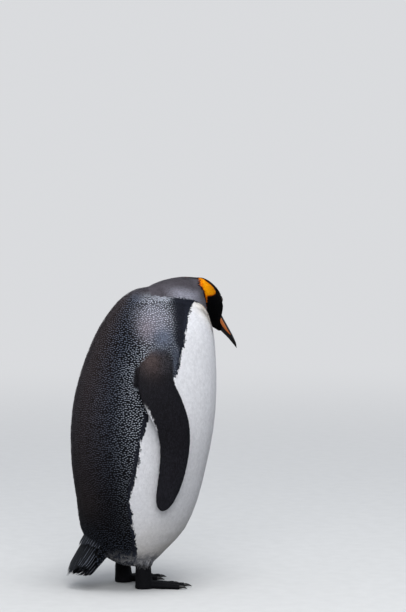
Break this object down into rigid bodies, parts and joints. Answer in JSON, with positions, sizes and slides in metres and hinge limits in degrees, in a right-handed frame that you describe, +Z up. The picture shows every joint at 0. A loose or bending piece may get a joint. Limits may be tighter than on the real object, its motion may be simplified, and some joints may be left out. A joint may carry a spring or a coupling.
{
  "type": "king penguin figure",
  "caption": "Life-size still model of a standing king penguin, its neck drawn in, its head bowed and turned to its left, and its flippers hanging at its sides.",
  "frame": {"origin": "the middle of the bird's bounding box, on the floor under it", "axes": "+Z up, -Y the way the body faces, -X the bird's right side"},
  "size_m": [0.3218, 0.412, 0.6587],
  "materials": {
    "plumage": "dense short overlapping feathers: slate back with pale blue-grey tips, black hood, silver-grey neck, orange ear patch, white front",
    "flipper": "very small scale-like feathers in rows, charcoal outside and white inside",
    "tail": "narrow stiff dark feathers with paler edges",
    "bill": "smooth black horn with fine lengthwise grain",
    "bill_plate": "smooth satin orange plate",
    "eye": "wet glossy dark brown eye with a black pupil",
    "foot": "black pebbled scaly skin",
    "claw": "black horn, worn paler at the tips"
  },
  "bodies": {
    "root": {"trunk": "plumage", "neck": "plumage", "head": "plumage", "leg_left": "plumage", "leg_right": "plumage", "flipper_left": "flipper", "flipper_right": "flipper", "tail": "tail", "bill_upper": "bill", "bill_lower": "bill", "bill_plate_left": "bill_plate", "bill_plate_right": "bill_plate", "eye_left": "eye", "eye_right": "eye", "foot_left": "foot", "foot_right": "foot", "claw_left_inner": "claw", "claw_left_middle": "claw", "claw_left_outer": "claw", "claw_left_hallux": "claw", "claw_right_inner": "claw", "claw_right_middle": "claw", "claw_right_outer": "claw", "claw_right_hallux": "claw"}
  },
  "joints": []
}
